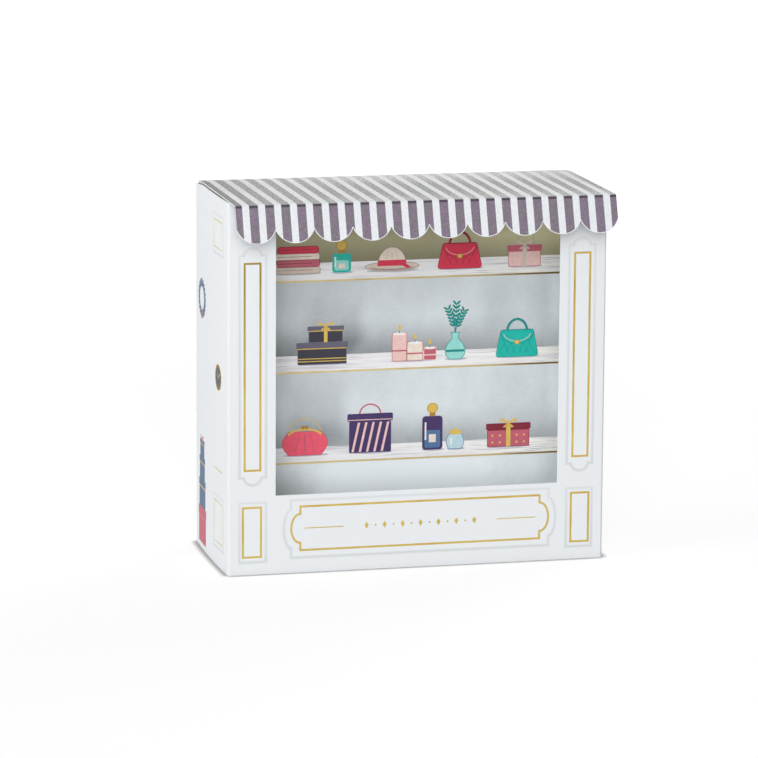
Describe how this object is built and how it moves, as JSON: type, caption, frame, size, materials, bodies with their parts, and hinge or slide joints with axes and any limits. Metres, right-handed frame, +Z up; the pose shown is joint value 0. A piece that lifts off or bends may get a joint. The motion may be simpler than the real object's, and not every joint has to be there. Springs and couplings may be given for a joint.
{
  "type": "greeting card",
  "caption": "Free-standing folded greeting card shaped as a small shop, with a cut-out window, a scalloped awning and an open bottom.",
  "frame": {"origin": "on the floor, at the middle of the whole card's extent across and from front to back", "axes": "+Z up, the front with the window faces -Y, +X to the right as seen from behind the front"},
  "size_m": [0.1412, 0.0732, 0.1363],
  "materials": {
    "card": "smooth white coated card with a satin face and a raw white cut edge",
    "gold_foil": "thin hot-stamped gold foil lines, satin metallic",
    "print": "offset-printed colour on coated card, satin"
  },
  "bodies": {
    "root": {"card": "card"}
  },
  "joints": []
}
